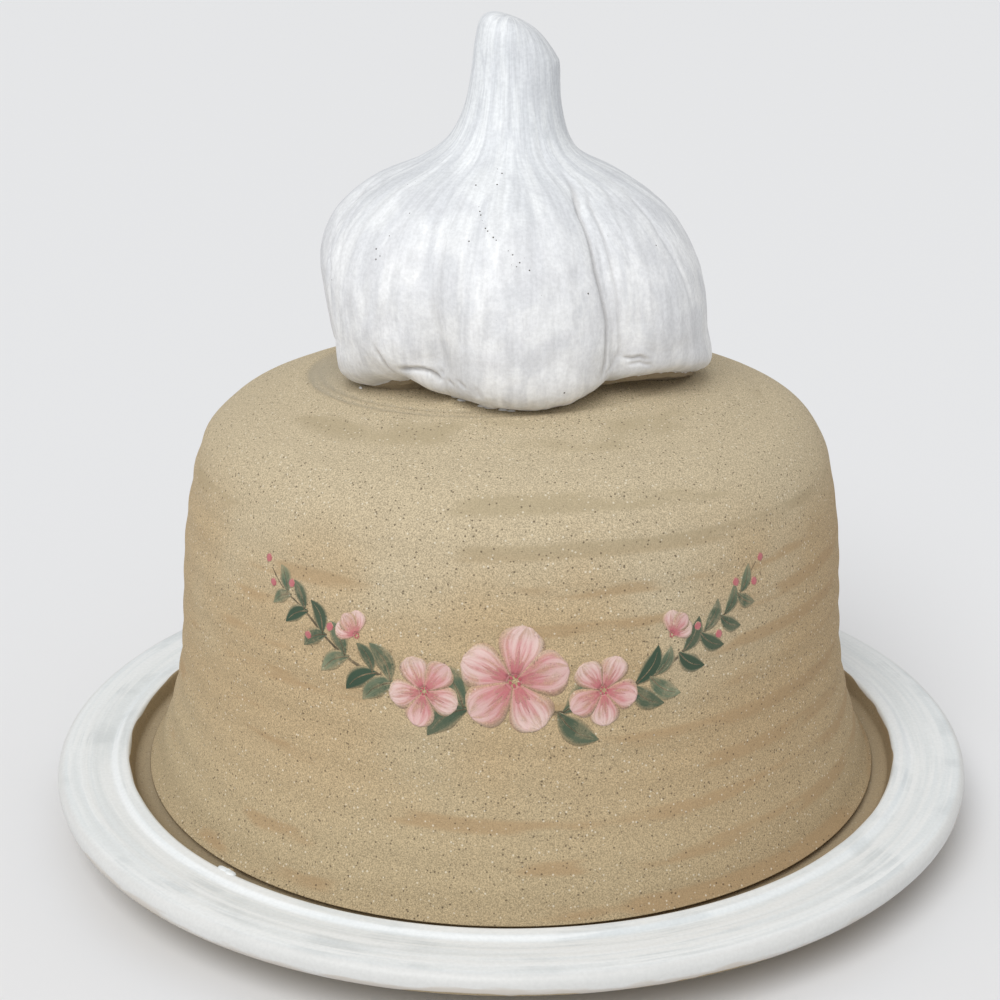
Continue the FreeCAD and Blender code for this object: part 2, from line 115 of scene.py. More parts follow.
def rounded(corners):
    """Points of a turned outline. A corner is a radius, a height, a rounding, and the gap between
    points up to it."""
    points = [Vector(corners[0][:2])]

    def straight(end, gap):
        start = points[-1]
        count = max(1, math.ceil((end - start).length / gap))
        points.extend(start.lerp(end, step / count) for step in range(1, count + 1))

    for before, corner, after in zip(corners, corners[1:], corners[2:]):
        here = Vector(corner[:2])
        rounding, gap = corner[2:]
        if not rounding:
            straight(here, gap)
            continue
        back = (Vector(before[:2]) - here).normalized()
        ahead = (Vector(after[:2]) - here).normalized()
        half = back.angle(ahead) / 2
        straight(here + back * rounding / math.tan(half), gap)
        centre = here + (back + ahead).normalized() * rounding / math.sin(half)
        spoke = points[-1] - centre
        bend = math.pi - 2 * half
        if spoke.cross(ahead) < 0:
            bend = -bend
        count = max(3, math.ceil(abs(bend) * rounding / gap))
        for step in range(1, count + 1):
            angle = bend * step / count
            points.append(centre + Vector((spoke.x * math.cos(angle) - spoke.y * math.sin(angle),
                                           spoke.x * math.sin(angle) + spoke.y * math.cos(angle))))
    straight(Vector(corners[-1][:2]), corners[-1][3])
    return points


def spun(outline, columns):
    """A closed shape turned about the Z axis. Its layer row tells the outline's points apart."""
    shape = bmesh.new()
    row = shape.verts.layers.float.new("row")
    ring = []
    for index, point in enumerate(outline):
        vertex = shape.verts.new((point[0], 0, point[1]))
        vertex[row] = index
        ring.append(vertex)
    edges = [shape.edges.new(pair) for pair in zip(ring, ring[1:])]
    bmesh.ops.spin(shape, geom=ring + edges, cent=(0, 0, 0), dvec=(0, 0, 0), axis=(0, 0, 1),
                   angle=2 * math.pi, steps=columns, use_merge=True)
    bmesh.ops.remove_doubles(shape, verts=shape.verts, dist=1e-4)
    bmesh.ops.recalc_face_normals(shape, faces=shape.faces)
    return shape


def moved(shape, rule):
    """Moves every vertex by a rule of its row, radius, turn and height."""
    row = shape.verts.layers.float["row"]
    for vertex in shape.verts:
        turn = turn_of(vertex.co.x, vertex.co.y)
        radius = math.hypot(vertex.co.x, vertex.co.y)
        vertex.co = rule(round(vertex[row]), radius, round(turn, 3), vertex.co.z)


def finished(name, shape, finish, slot, *stands_for):
    """Turns a shape into a piece of the object, in metres, with its finish."""
    bmesh.ops.scale(shape, vec=(MM, MM, MM), verts=shape.verts)
    for face in shape.faces:
        face.smooth = True
    mesh = bpy.data.meshes.new(name)
    shape.to_mesh(mesh)
    shape.free()
    mesh.materials.append(finish)
    piece = bpy.data.objects.new(name, mesh)
    scene.collection.objects.link(piece)
    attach(piece, "root")
    if stands_for:
        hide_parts(*stands_for)


# Finishes

class Finish:
    """A material's nodes, wired up one after the other. Lengths in it are millimetres."""

    def __init__(self, name, roughness, specular):
        self.material = bpy.data.materials.new(name)
        self.material.use_nodes = True
        self.tree = self.material.node_tree
        self.shader = self.tree.nodes["Principled BSDF"]
        self.shader.inputs["Roughness"].default_value = roughness
        self.shader.inputs["Specular IOR Level"].default_value = specular
        coordinates = self.tree.nodes.new("ShaderNodeTexCoord")
        self.place = self.scaled(coordinates.outputs["Object"], (1 / MM, 1 / MM, 1 / MM))

    def put(self, socket, value):
        if isinstance(value, bpy.types.NodeSocket):
            self.tree.links.new(value, socket)
        elif isinstance(value, tuple) and len(socket.default_value) == 4:
            socket.default_value = (*value, 1.0)
        else:
            socket.default_value = value

    def math(self, operation, first, second=0.0):
        node = self.tree.nodes.new("ShaderNodeMath")
        node.operation = operation
        for socket, value in zip(node.inputs, (first, second)):
            self.put(socket, value)
        return node.outputs[0]

    def scaled(self, vector, factors):
        node = self.tree.nodes.new("ShaderNodeVectorMath")
        node.operation = "MULTIPLY"
        self.put(node.inputs[0], vector)
        node.inputs[1].default_value = factors
        return node.outputs[0]

    def split(self, vector):
        node = self.tree.nodes.new("ShaderNodeSeparateXYZ")
        self.put(node.inputs[0], vector)
        return node.outputs

    def joined(self, x, y, z):
        node = self.tree.nodes.new("ShaderNodeCombineXYZ")
        for socket, value in zip(node.inputs, (x, y, z)):
            self.put(socket, value)
        return node.outputs[0]

    def radius(self):
        """How far a point lies from the turning axis."""
        x, y, _ = self.split(self.place)
        across = self.math("ADD", self.math("MULTIPLY", x, x), self.math("MULTIPLY", y, y))
        return self.math("SQRT", across)

    def clouds(self, vector, scale=1.0, detail=2.0, rough=0.5, warp=0.0):
        node = self.tree.nodes.new("ShaderNodeTexNoise")
        self.put(node.inputs["Vector"], vector)
        node.inputs["Scale"].default_value = scale
        node.inputs["Detail"].default_value = detail
        node.inputs["Roughness"].default_value = rough
        node.inputs["Distortion"].default_value = warp
        return node.outputs["Fac"]

    def grains(self, scale, size, share, seed=0.0):
        """1 in scattered grains and 0 between them. Size is a grain's radius in its own cell."""
        node = self.tree.nodes.new("ShaderNodeTexVoronoi")
        node.voronoi_dimensions = "4D"
        self.put(node.inputs["Vector"], self.place)
        node.inputs["Scale"].default_value = scale
        node.inputs["W"].default_value = seed
        inside = self.between(node.outputs["Distance"], size * 1.3, size * 0.7)
        chosen = self.math("LESS_THAN", self.split(node.outputs["Color"])[0], share)
        return self.math("MULTIPLY", inside, chosen)

    def between(self, value, low, high, start=0.0, end=1.0):
        """Carries a value from one range to another, and stops at its ends."""
        node = self.tree.nodes.new("ShaderNodeMapRange")
        for socket, number in zip(node.inputs, (value, low, high, start, end)):
            self.put(socket, number)
        node.interpolation_type = "SMOOTHSTEP"
        return node.outputs["Result"]

    def mix(self, share, first, second, way="MIX"):
        node = self.tree.nodes.new("ShaderNodeMix")
        node.data_type = "RGBA"
        node.blend_type = way
        self.put(node.inputs[0], share)
        self.put(node.inputs[6], first)
        self.put(node.inputs[7], second)
        return node.outputs[2]

    def layer(self, name):
        """A number that the mesh carries."""
        node = self.tree.nodes.new("ShaderNodeAttribute")
        node.attribute_name = name
        return node.outputs["Fac"]

    def relief(self, height, depth, before=None):
        """Bump of a height that runs from 0 to 1, with its depth in millimetres."""
        node = self.tree.nodes.new("ShaderNodeBump")
        node.inputs["Strength"].default_value = 1.0
        node.inputs["Distance"].default_value = depth * MM
        self.put(node.inputs["Height"], height)
        if before is not None:
            self.put(node.inputs["Normal"], before)
        return node.outputs[0]

    def done(self, colour, normal, roughness=None):
        self.put(self.shader.inputs["Base Color"], colour)
        self.put(self.shader.inputs["Normal"], normal)
        if roughness is not None:
            self.put(self.shader.inputs["Roughness"], roughness)
        return self.material


LIT_HIGH_SAND = (0.545, 0.455, 0.308)
SHADED_LOW_SAND = (0.475, 0.378, 0.232)
WARM_SAND = (0.490, 0.360, 0.205)
OLIVE_SMEAR = (0.430, 0.352, 0.222)
# Brown of the slip smears, also used as painted shade on the lower right of the wall.
BROWN_SMEAR_AND_SHADE = (0.430, 0.295, 0.160)
BARE_BROWN_AND_SHADE = (0.330, 0.262, 0.170)
DARK_GROG = (0.085, 0.062, 0.038)
PALE_GROG = (0.82, 0.75, 0.60)


def sandy_clay(look):
    """Colour and relief of the bare stoneware: sand, grog, and slip smeared along the rings, paler towards
    the top as painted light and darker low down and on the lower right as painted shade.
    """
    x, _, z = look.split(look.place)
    # Paler towards the top and darker low on the wall: painted light from above and painted shade low down.
    colour = look.mix(look.between(z, 15.0, 80.0), SHADED_LOW_SAND, LIT_HIGH_SAND)
    broad = look.clouds(look.place, 0.03, 2)
    middle = look.math("MULTIPLY", look.between(z, 12.0, 40.0), look.between(z, 82.0, 62.0))
    warmth = look.math("MULTIPLY", look.between(broad, 0.30, 0.58), middle)
    colour = look.mix(look.math("MULTIPLY", warmth, 0.75), colour, WARM_SAND)

    wander = look.clouds(look.scaled(look.place, (0.014, 0.014, 0.03)), 1.0, 1)
    phase = look.math("ADD", look.math("MULTIPLY", z, math.tau / RING_SPACING),
                      look.math("MULTIPLY", wander, 4.5))
    crest = look.between(look.math("SINE", phase), -0.1, 0.8)
    length = look.clouds(look.scaled(look.place, (0.036, 0.036, 0.16)), 1.0, 2, 0.55)
    # The lower right of the wall, where shade is painted; longer smears are also favoured there.
    shaded_low_right = look.math("MULTIPLY", look.between(x, 15.0, 50.0), look.between(z, 75.0, 60.0))
    high_front = look.math("MULTIPLY", look.between(look.math("ABSOLUTE", look.math("SUBTRACT", x, 12.0)),
                                                    34.0, 14.0), look.between(z, 55.0, 66.0))
    favoured = look.math("MULTIPLY", look.math("MAXIMUM", shaded_low_right, high_front), 0.13)
    length = look.math("ADD", look.math("SUBTRACT", length, 0.03), favoured)
    smear = look.math("MULTIPLY", crest, look.between(length, 0.50, 0.62))
    tone = look.mix(look.between(z, 62.0, 76.0), BROWN_SMEAR_AND_SHADE, OLIVE_SMEAR)
    colour = look.mix(look.math("MULTIPLY", smear, 0.70), colour, tone)

    # Painted shade on the lower right of the wall, in the smears' brown.
    colour = look.mix(look.math("MULTIPLY", shaded_low_right, 0.30), colour, BROWN_SMEAR_AND_SHADE)
    sand = look.clouds(look.place, 4.0, 3, 0.75)
    shade = look.between(sand, 0.30, 0.70, 0.62, 1.34)
    calm = look.math("ADD", look.math("MULTIPLY", look.math("SUBTRACT", shade, 1.0),
                                      look.between(smear, 0.0, 1.0, 1.0, 0.45)), 1.0)
    colour = look.mix(1.0, colour, calm, "MULTIPLY")
    specks = look.grains(1.5, 0.27, 0.55)
    colour = look.mix(look.math("MULTIPLY", specks, 0.72), colour, DARK_GROG)
    chips = look.grains(1.4, 0.25, 0.50, 4.0)
    colour = look.mix(look.math("MULTIPLY", chips, 0.65), colour, PALE_GROG)
    normal = look.relief(sand, 0.10)
    return colour, normal


def bare_clay():
    look = Finish("bare_sandy_clay", 0.88, 0.25)
    colour, normal = sandy_clay(look)
    # A grey stain with painted shade in the recess left of the knob, and painted shade along the trimming
    # lines at the front.
    stain_and_shade = look.layer("stain_and_shade")
    colour = look.mix(look.math("MULTIPLY", stain_and_shade, 0.65), colour, (0.36, 0.325, 0.255))
    return look.done(colour, normal)


def rim_glaze():
    look = Finish("brushed_white_rim", 0.45, 0.42)
    clay, clay_normal = sandy_clay(look)
    # The dish's bare clay, darker brown: partly its own tone, partly painted shade in the narrow seat round
    # the cover.
    clay = look.mix(0.62, clay, BARE_BROWN_AND_SHADE)
    x, y, z = look.split(look.place)
    radius = look.radius()
    along = look.joined(look.math("MULTIPLY", radius, 0.75), look.math("MULTIPLY", x, 0.03),
                        look.math("MULTIPLY", y, 0.03))
    strokes = look.clouds(along, 1.0, 3, 0.55, 0.2)
    patches = look.clouds(look.place, 0.07, 3)
    fine = look.clouds(look.place, 1.6, 2)
    white = look.mix(look.between(strokes, 0.34, 0.62), (0.760, 0.800, 0.815), (0.835, 0.862, 0.870))
    thin = look.math("MULTIPLY", look.between(patches, 0.50, 0.64), look.between(strokes, 0.60, 0.42))
    white = look.mix(look.math("MULTIPLY", thin, 0.8), white, (0.665, 0.705, 0.720))
    # Greyer on the outer edge: painted shade on the edge's face, which turns away from the light.
    white = look.mix(look.between(radius, 88.2, 89.5, 0.0, 0.85), white, (0.660, 0.658, 0.640))
    white = look.mix(1.0, white, look.between(fine, 0.3, 0.7, 0.975, 1.025), "MULTIPLY")
    pits = look.grains(0.30, 0.055, 0.16)
    white = look.mix(pits, white, (0.14, 0.13, 0.12))

    # Inside the bead the clay is bare, and low on the edge the glaze was wiped to a grey veil
    slow = look.clouds(look.scaled(look.place, (0.11, 0.11, 0.0)), 1.0, 0)
    inner = look.math("ADD", radius, look.between(slow, 0.3, 0.7, -0.16, 0.16))
    ragged = look.clouds(look.scaled(look.place, (0.05, 0.05, 0.30)), 1.0, 3, 0.6)
    level = look.math("ADD", z, look.between(ragged, 0.3, 0.7, -1.0, 0.9))
    veil = look.between(level, 10.1, 9.2)
    white = look.mix(look.math("MULTIPLY", veil, 0.8), white, (0.55, 0.50, 0.44))
    bare = look.math("MAXIMUM", look.between(inner, 76.30, 76.18), look.between(level, 8.6, 8.3))
    colour = look.mix(bare, white, clay)
    smooth = look.relief(strokes, 0.05)
    flat = look.tree.nodes.new("ShaderNodeMix")
    flat.data_type = "VECTOR"
    look.put(flat.inputs[0], bare)
    look.put(flat.inputs[4], smooth)
    look.put(flat.inputs[5], clay_normal)
    return look.done(colour, flat.outputs[1], look.between(bare, 0.0, 1.0, 0.45, 0.9))


def knob_glaze():
    look = Finish("brushed_white_knob", 0.56, 0.35)
    clay, _ = sandy_clay(look)
    # The bare clay, darkened beyond its own brown: painted shade in the gaps under the skin's edge.
    clay = look.mix(0.75, clay, (0.235, 0.182, 0.118))
    x, y, z = look.split(look.place)
    radius = look.math("ADD", look.radius(), 0.5)
    round_x = look.math("MULTIPLY", look.math("DIVIDE", x, radius), 26.0)
    round_y = look.math("MULTIPLY", look.math("DIVIDE", y, radius), 26.0)
    hair = look.clouds(look.joined(round_x, round_y, look.math("MULTIPLY", z, 0.13)), 0.75, 4, 0.65, 0.35)
    stroke = look.clouds(look.joined(round_x, round_y, look.math("MULTIPLY", z, 0.35)), 0.22, 3, 0.6, 0.9)
    patch = look.clouds(look.place, 0.085, 3, 0.55, 0.4)
    white = look.mix(look.between(stroke, 0.38, 0.62), (0.735, 0.745, 0.765), (0.855, 0.862, 0.870))
    white = look.mix(look.between(patch, 0.47, 0.62, 0.0, 0.60), white, (0.700, 0.706, 0.728))
    high = look.between(z, 108.0, 128.0)
    white = look.mix(1.0, white, look.mix(high, (1.0, 1.0, 1.0), (0.950, 0.968, 0.980)), "MULTIPLY")
    white = look.mix(1.0, white, look.between(hair, 0.30, 0.70, 0.91, 1.06), "MULTIPLY")
    tooth = look.clouds(look.place, 1.5, 3, 0.6)
    white = look.mix(1.0, white, look.between(tooth, 0.3, 0.7, 0.94, 1.05), "MULTIPLY")
    pits = look.grains(0.30, 0.05, 0.14)
    white = look.mix(pits, white, (0.12, 0.11, 0.10))
    # Grey in the creases of the folds: painted shade.
    groove = look.layer("groove")
    white = look.mix(look.between(groove, 0.15, 0.9, 0.0, 0.55), white, (0.50, 0.49, 0.485))

    ragged = look.clouds(look.place, 0.7, 3)
    bare = look.math("ADD", look.layer("bare"), look.between(ragged, 0.3, 0.7, -0.25, 0.25))
    bare = look.between(bare, 0.40, 0.60)
    colour = look.mix(bare, white, clay)
    normal = look.relief(hair, 0.05, look.relief(tooth, 0.06))
    return look.done(colour, normal, look.between(bare, 0.0, 1.0, 0.56, 0.9))


# The dish: a corner is a radius, a height, its rounding and the gap between points up to it

DISH = (
    (0, 3.0, 0, 0), (51.0, 3.0, 0.8, 3.0), (51.0, 0.0, 0.8, 0.8), (57.0, 0.0, 0.8, 1.0),
    (57.0, 3.0, 0.8, 0.8), (73.9, 3.6, 100, 1.6), (90.0, 8.8, 1.6, 1.2), (90.0, 12.5, 1.6, 0.5),
    (84.8, 12.8, 38, 0.55), (79.6, 12.3, 1.2, 0.5), (78.5, 12.9, 0.9, 0.25), (76.3, 12.9, 0.8, 0.3),
    (75.2, SEAT, 1.0, 0.35), (61.0, SEAT, 4.0, 1.2), (54.0, 7.4, 4.0, 0.9), (0, 7.4, 0, 3.0),
)
DISH_UPPER_SIDE = 9.5


def dish_rule(row, radius, turn, height):
    edge = ease(70, 88, radius)
    on_bead = hump(76.4, 2.6, radius) * ease(SEAT, 12, height)
    radius += 0.20 * unevenness(turn, 0, 3.5, 40, 7) * on_bead
    radius -= 0.12 * edge * (0.5 + 0.5 * unevenness(turn, 0, 1.6, 40, 3))
    if height > DISH_UPPER_SIDE:
        height += 0.09 * edge * (unevenness(turn, 0, 2.2, 40, 5) - 1)
        brushed = hump(84.5, 5.0, radius)
        height += 0.035 * brushed * math.sin(radius * math.tau / 2.1 + 1.5 * math.radians(turn))
        height += 0.05 * brushed * unevenness(turn, radius, 4.0, 6, 11)
    return at(radius, turn, height)


dish_shape = spun(rounded(DISH), 360)
moved(dish_shape, dish_rule)
finished("white_dish", dish_shape, rim_glaze(), "dish_glaze", "dish")


# The cover

CROWN_TOP = 91.27
CROWN_BOW = 147.0  # the radius of its dome
CROWN_LEAN = 0.5  # how far it was pushed over, towards +X
CROWN_REACH = 52  # where the crown ends and the wall begins
COVER = (
    (0, CROWN_TOP, 0, 0), (26.22, CROWN_TOP, CROWN_BOW, 0.56), (57.82, 79.63, 15, 0.8),
    (62.97, 62.71, 88, 1.0), (65.28, 26.66, 72, 1.0), (70.66, 12.52, 9, 0.7), (73.32, SEAT, 0.76, 0.2),
    (67.2, SEAT, 1.2, 1.0), (65.57, 11.83, 26, 1.5), (60.34, 25.58, 77, 2.2),
    (58.02, 61.81, 83, 2.2), (53.76, 75.8, 10, 2.0), (36.0, 82.5, 6, 2.0), (0, 82.57, 0, 3.0),
)
# The shallow recess that was trimmed into the crown round the knob
RECESS_CENTRE = Vector((-2.0, 3.4))
RECESS_REACH = 37.0


def crown_dip(x, y):
    """How deep the crown is trimmed away round the knob."""
    away = (Vector((x, y)) - RECESS_CENTRE).length
    turn = turn_of(x, y)
    right = hump(0, 100, turn_between(turn, 85))
    front_left = hump(0, 70, turn_between(turn, -45))
    dip = (0.55 - 0.42 * right) * (1 - ease(RECESS_REACH - 1.3, RECESS_REACH + 0.2, away))
    dip += 0.38 * front_left * hump(RECESS_REACH - 0.3, 0.8, away)
    dip += 0.42 * front_left * hump(RECESS_REACH - 2.7, 0.7, away)
    dip -= 0.18 * front_left * hump(RECESS_REACH - 1.7, 0.8, away)
    return dip


def trimmed(x, y, height):
    """The crown's height at a place once it is trimmed, with the flat seat that the knob hides."""
    height -= crown_dip(x, y)
    return height + (KNOB_SEAT - 0.05 - height) * (1 - ease(15.0, 21.0, math.hypot(x, y)))


def crown_surface(x, y):
    """The finished crown's height at a place."""
    bow = math.sqrt(CROWN_BOW ** 2 - (x - CROWN_LEAN) ** 2 - y ** 2)
    return trimmed(x, y, CROWN_TOP - CROWN_BOW + bow)


def ring_swell(turn, height):
    """The soft rings that the fingers left in the thrown wall."""
    wander = unevenness(turn, height, 1.2, 40, 2)
    strength = 0.55 + 0.6 * unevenness(turn, height, 1.8, 22, 9)
    return 0.21 * strength * math.sin(math.tau * (height / RING_SPACING + turn / 360 + 0.4 * wander))


def thrown(radius, turn, height):
    """Carries a point of the cover's true turned outside to the uneven hand-thrown one."""
    share = ease(SEAT + 1.5, 20, height)
    if radius > CROWN_REACH:
        radius += ring_swell(turn, height) * share
    radius -= 0.28 * ease(20, 45, height) * (1 - ease(60, 75, height))
    radius += 0.18 * unevenness(turn, height, 1.1, 60, 4) * share
    place = at(radius, turn, height)
    place.x += CROWN_LEAN * ease(35, 85, height)
    return place


cover_outline = rounded(COVER)
outside_rows = next(index for index, point in enumerate(cover_outline) if point.y < SEAT + 0.001)
# The wall's outline as a table: height, radius
cover_wall = tuple(sorted((point.y, point.x) for point in cover_outline[:outside_rows] if point.x > 50))


def cover_rule(row, radius, turn, height):
    if row >= outside_rows:
        return at(radius, turn, height)
    place = thrown(radius, turn, height)
    if radius < CROWN_REACH:
        place.z += (0.7 * ring_swell(turn, 150 - radius) * ease(39, 44, radius)
                    * (1 - ease(48, CROWN_REACH, radius)))
        place.z = trimmed(place.x, place.y, place.z)
    return place


cover_shape = spun(cover_outline, 360)
moved(cover_shape, cover_rule)
stain_and_shade = cover_shape.verts.layers.float.new("stain_and_shade")
# Where a grey stain and painted shade lie: in the recess left of the knob, and along the front trimming
# lines.
for vertex in cover_shape.verts:
    if vertex.co.z > 84:
        away = (vertex.co.xy - RECESS_CENTRE).length
        turn = turn_of(vertex.co.x, vertex.co.y)
        left = hump(0, 52, turn_between(turn, -92))
        front = hump(0, 75, turn_between(turn, -45))
        inside = 1 - ease(RECESS_REACH - 1.0, RECESS_REACH + 0.2, away)
        line = hump(RECESS_REACH - 0.6, 0.7, away) + hump(RECESS_REACH - 2.7, 0.5, away)
        vertex[stain_and_shade] = min(1.0, 0.85 * left * inside + 0.7 * front * line)
finished("clay_cover", cover_shape, bare_clay(), "cover_clay", "cover")


# The knob: a head of garlic

# The turns of the valleys between its six cloves
VALLEYS = (-25.0, 31.0, 97.0, 158.0, 218.0, 280.0)
VALLEY_SHARPNESS = (0.6, 0.7, 0.7, 0.7, 0.7, 0.4)

# Height over the knob's seat, reach, lean towards +X, groove between the cloves, tilt
LEVELS = (
    (0.0, 29.4, 2.1, 0.20, 0), (0.9, 32.1, 2.0, 0.185, 0), (3.0, 34.9, 1.7, 0.16, 0),
    (7.0, 36.4, 1.2, 0.135, 0), (13.5, 36.8, 0.5, 0.11, 0), (21.0, 36.0, -0.6, 0.09, 0),
    (29.0, 31.9, -1.2, 0.07, 0), (35.0, 24.2, -1.4, 0.05, 0), (39.0, 15.4, -0.9, 0.03, 0),
    (42.5, 11.2, -0.2, 0.012, 0), (48.0, 8.9, 0.4, 0, 0), (55.0, 7.9, 1.0, 0, 0),
    (58.4, 7.5, 1.0, 0, 12), (61.0, 6.6, 0.7, 0, 18), (62.9, 4.8, 0.2, 0, 18), (63.9, 2.4, -0.4, 0, 17),
    (64.15, 0.0, -0.6, 0, 17),
)
LEVEL_TABLES = tuple(tuple((index, level[column]) for index, level in enumerate(LEVELS))
                     for column in range(5))

# The skin's lower edge round from the front: its reach, its height over the knob's seat, and how
# high up the skin still follows it
EDGE_REACH = (
    (-78, 31.3), (-71, 31.9), (-66, 32.1), (-60, 31.7), (-55, 31.1), (-50, 30.4), (-45, 29.4),
    (-40, 28.4), (-36, 27.6), (-32, 27.2), (-27, 27.4), (-21, 28.0), (-15, 29.4), (-8, 30.4),
    (-2, 30.9), (4, 31.0), (9, 30.5), (14, 29.7), (19, 28.8), (24, 28.2), (30, 26.8), (35, 27.2),
    (40, 28.6), (45, 29.8), (50, 30.7), (55, 31.3), (60, 31.8), (65, 32.2), (70, 32.4), (76, 32.6),
    (82, 32.5), (88, 32.2), (94, 30.8), (98, 29.4), (105, 31.6), (120, 32.9), (135, 32.8),
    (150, 31.0), (158, 28.4), (166, 30.8), (180, 32.4), (195, 32.6), (210, 30.8), (218, 28.2),
    (226, 30.6), (240, 32.2), (256, 31.4), (270, 30.0),
)
EDGE_LIFT = (
    (-78, -0.4), (-71, -0.4), (-66, -0.25), (-60, 0.1), (-55, 0.9), (-50, 1.9), (-45, 2.1), (-40, 2.9),
    (-36, 2.2), (-32, 1.3), (-27, 0.5), (-21, 0.35), (-15, 0.1), (-8, 0.0), (-2, -0.25), (4, -0.25),
    (9, -0.15), (14, 0.1), (19, 0.8), (24, 1.7), (30, 2.5), (35, 2.7), (40, 3.3), (45, 3.4),
    (50, 3.2), (55, 2.9), (60, 2.4), (65, 1.8), (70, 1.1), (76, 0.3), (82, -0.5), (88, -0.9),
    (94, -0.4), (98, 0.6), (105, 0.2), (120, -0.4), (135, -0.3), (150, 0.5), (158, 1.8), (166, 0.6),
    (180, -0.3), (195, -0.3), (210, 0.7), (218, 1.9), (226, 0.6), (240, -0.4), (256, -0.2), (270, 0.3),
)
EDGE_PULL = 9
# Where the bare foot stands on the cover
FOOT_REACH = (
    (-78, 32.0), (-71, 32.5), (-66, 32.5), (-60, 31.6), (-55, 30.4), (-50, 29.3), (-45, 27.4),
    (-40, 25.0), (-36, 25.0), (-32, 25.5), (-27, 26.5), (-21, 27.4), (-15, 29.0), (-8, 30.0),
    (-2, 30.5), (4, 30.6), (9, 29.9), (14, 28.8), (19, 27.8), (24, 27.0), (30, 25.0), (35, 24.0),
    (44, 23.4), (50, 24.3), (56, 25.9), (65, 28.9), (73, 30.8), (82, 32.4), (88, 32.8), (94, 30.8),
    (98, 28.0), (105, 30.6), (120, 32.3), (135, 32.2), (150, 29.8), (158, 26.0), (166, 29.6),
    (180, 31.8), (195, 32.0), (210, 29.6), (218, 26.0), (226, 29.4), (240, 32.0), (256, 31.8),
    (270, 30.2),
)
# How far the clay under the skin's edge hangs back as a hollow, and how thick its bare edge is
UNDERCUT = ((-78, 0), (-48, 0), (-41, 0.5), (-34, 0.2), (-20, 0), (12, 0), (24, 0.6), (33, 1), (62, 1),
            (72, 0.7), (82, 0.2), (94, 0.2), (158, 0.8), (180, 0), (218, 0.8), (240, 0))
BARE_EDGE = ((-78, 0.1), (-60, 0.1), (-50, 0.3), (-38, 0.3), (-20, 0.1), (10, 0.1), (22, 0.4),
             (32, 0.9), (46, 1.2), (60, 1.1), (75, 0.6), (88, 0.1), (158, 0.4), (180, 0.1), (218, 0.4),
             (240, 0.1))

# Folds pressed into the skin, each with its course (turn, height over the seat), depth, width, and
# how far the clay beside it, on the left going up, stands proud
FOLDS = (
    (((25.0, 4.8), (27.0, 7.5), (28.8, 14.8), (27.6, 24.0), (29.5, 32.5), (38.0, 38.4)), 0.70, 0.6, 0.25),
    (((26.5, 5.4), (30.5, 6.2), (33.2, 9.0), (33.2, 15.0), (33.6, 22.0), (34.2, 28.2), (36.0, 33.5),
      (45.0, 38.0)), 0.30, 0.42, 0.14),
    (((40.0, 24.0), (43.0, 31.0), (52.0, 36.5)), 0.16, 0.5, 0.05),
    (((60.0, 13.0), (59.0, 20.8), (57.5, 25.0), (56.5, 28.2), (58.5, 32.5), (62.0, 36.2)), 0.22, 0.8, 0.12),
    (((-64.0, 8.0), (-63.0, 13.5), (-62.5, 21.5), (-70.0, 26.0), (-75.5, 30.2), (-83.5, 33.0),
      (-93.0, 36.2)), 0.42, 0.7, -0.2),
    (((-56.0, 21.0), (-58.5, 25.0), (-62.5, 29.5), (-69.5, 34.5), (-84.0, 38.0)), 0.16, 0.5, 0.08),
    (((-23.0, 6.5), (-23.5, 10.5), (-23.0, 16.0), (-20.5, 23.0), (-20.0, 29.0), (-24.0, 34.5)), 0.42, 1.1,
     0.26),
    (((-37.5, 5.9), (-35.0, 6.5), (-30.5, 6.7), (-28.0, 6.2), (-26.6, 5.4), (-25.8, 4.3)), 0.75, 0.40, 0.30),
    (((-25.9, 6.6), (-24.2, 5.6)), 0.40, 0.35, 0.10),
    (((-43.0, 10.5), (-41.8, 7.6), (-41.5, 6.0), (-41.0, 5.0), (-40.0, 3.8)), 0.60, 0.45, 0.20),
    (((-22.6, 4.9), (-21.0, 4.0)), 0.40, 0.35, 0.10),
    (((-18.2, 5.3), (-16.4, 4.2)), 0.40, 0.35, 0.10),
    (((-12.4, 4.6), (-12.0, 2.6)), 0.25, 0.40, 0.05),
    (((34.0, 8.2), (36.5, 7.8), (39.0, 8.1), (41.0, 7.2)), 0.40, 0.40, 0.20),
    (((35.5, 6.7), (39.0, 7.0), (42.0, 6.1)), 0.30, 0.40, 0.10),
    (((-8.0, 20.0), (-6.0, 28.0), (-9.0, 36.0)), 0.12, 0.9, 0.04),
    (((9.0, 22.0), (8.0, 30.0), (14.0, 37.0)), 0.14, 0.9, 0.05),
    (((118.0, 10.0), (122.0, 22.0), (119.0, 34.0)), 0.20, 0.8, 0.08),
    (((130.0, 14.0), (132.0, 25.0), (128.0, 35.0)), 0.14, 0.7, 0.05),
    (((97.0, 8.0), (98.0, 20.0), (96.0, 32.0), (92.0, 37.5)), 0.40, 0.6, 0.15),
    (((103.0, 12.0), (104.0, 22.0), (101.0, 33.0)), 0.20, 0.5, 0.08),
    (((158.0, 7.0), (160.0, 18.0), (158.0, 30.0), (153.0, 37.0)), 0.45, 0.6, 0.18),
    (((185.0, 12.0), (190.0, 22.0), (186.0, 34.0)), 0.16, 0.8, 0.06),
    (((218.0, 7.0), (216.0, 18.0), (219.0, 30.0), (224.0, 37.0)), 0.45, 0.6, 0.18),
    (((225.0, 10.0), (224.0, 22.0), (227.0, 33.0)), 0.18, 0.5, 0.07),
    (((250.0, 11.0), (254.0, 22.0), (251.0, 34.0)), 0.18, 0.8, 0.07),
)

FOLD_BOXES = tuple((min(t for t, _ in course) - 8, max(t for t, _ in course) + 8,
                    min(h for _, h in course) - 3, max(h for _, h in course) + 3)
                   for course, *_ in FOLDS)

